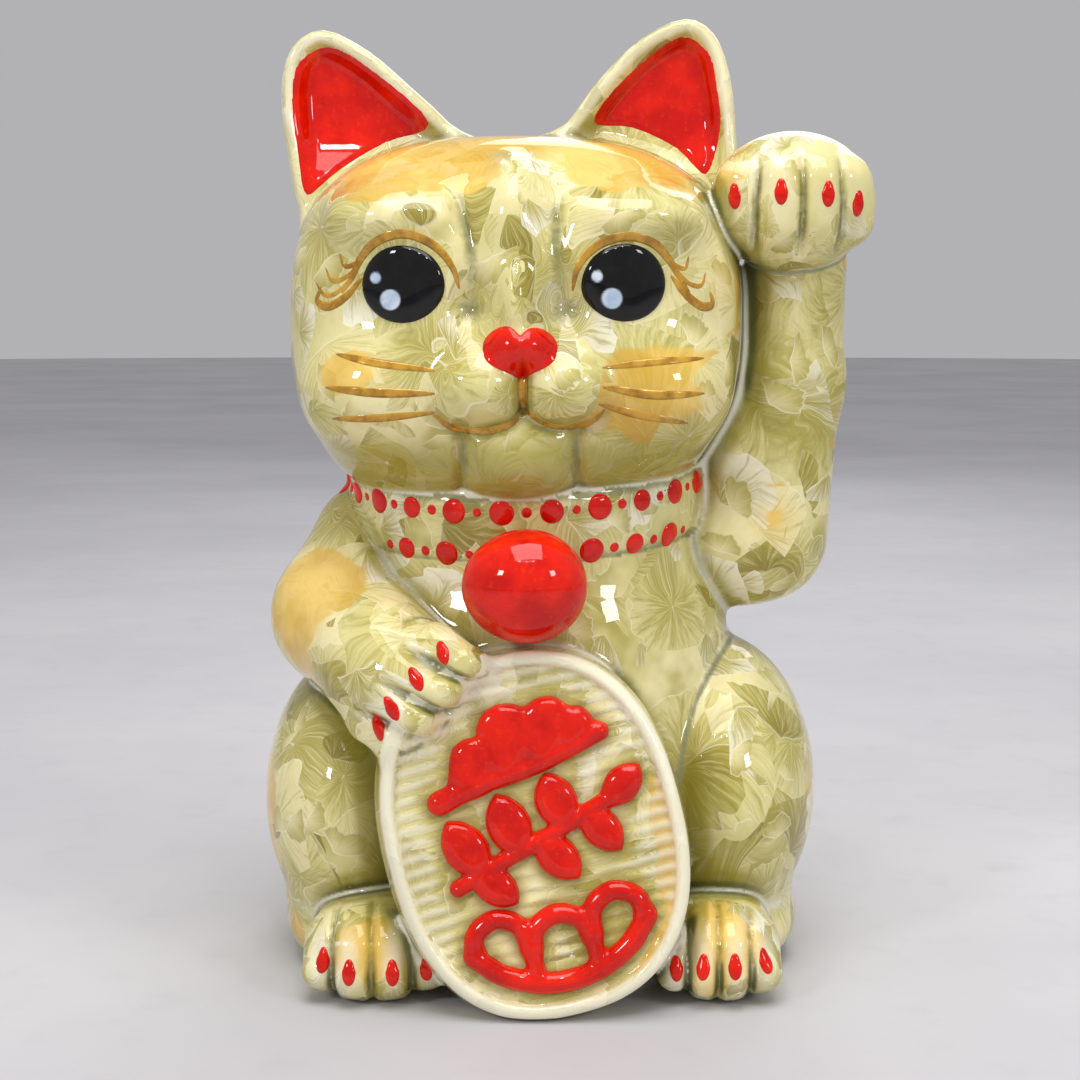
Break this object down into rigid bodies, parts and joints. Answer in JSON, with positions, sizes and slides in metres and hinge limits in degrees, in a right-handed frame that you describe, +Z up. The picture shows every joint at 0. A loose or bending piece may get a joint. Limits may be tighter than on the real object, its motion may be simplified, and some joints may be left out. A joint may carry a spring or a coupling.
{
  "type": "beckoning cat figurine",
  "caption": "Seated hollow ceramic cat figurine, a forepaw raised beside its head and the other resting on an upright oval plate, on a flat vented base.",
  "frame": {"origin": "on the flat underside, below the middle of the torso, in front of the vent hole", "axes": "+Z up, the face looks towards -Y, the raised forepaw (the cat's own left) is on the +X side"},
  "size_m": [0.1543, 0.141, 0.2396],
  "materials": {
    "crystal_glaze": "glossy crystalline glaze",
    "red_enamel": "raised glossy enamel",
    "black_enamel": "glossy enamel"
  },
  "bodies": {
    "root": {"torso_casting": "crystal_glaze", "head_casting": "crystal_glaze", "ear_right": "crystal_glaze", "ear_left": "crystal_glaze", "raised_arm": "crystal_glaze", "raised_paw": "crystal_glaze", "resting_arm": "crystal_glaze", "resting_paw": "crystal_glaze", "haunch_right": "crystal_glaze", "haunch_left": "crystal_glaze", "hind_paw_right": "crystal_glaze", "hind_paw_left": "crystal_glaze", "tail": "crystal_glaze", "collar_band": "crystal_glaze", "oval_plate": "crystal_glaze", "ear_enamel_right": "red_enamel", "ear_enamel_left": "red_enamel", "nose": "red_enamel", "bell": "red_enamel", "enamel_cloud": "red_enamel", "enamel_sprig": "red_enamel", "enamel_wave": "red_enamel", "claw_raised_1": "red_enamel", "claw_raised_2": "red_enamel", "claw_raised_3": "red_enamel", "claw_raised_4": "red_enamel", "claw_resting_1": "red_enamel", "claw_resting_2": "red_enamel", "claw_resting_3": "red_enamel", "claw_resting_4": "red_enamel", "claw_hind_right_1": "red_enamel", "claw_hind_right_2": "red_enamel", "claw_hind_right_3": "red_enamel", "claw_hind_right_4": "red_enamel", "claw_hind_left_1": "red_enamel", "claw_hind_left_2": "red_enamel", "claw_hind_left_3": "red_enamel", "claw_hind_left_4": "red_enamel", "eye_right": "black_enamel", "eye_left": "black_enamel"}
  },
  "joints": []
}
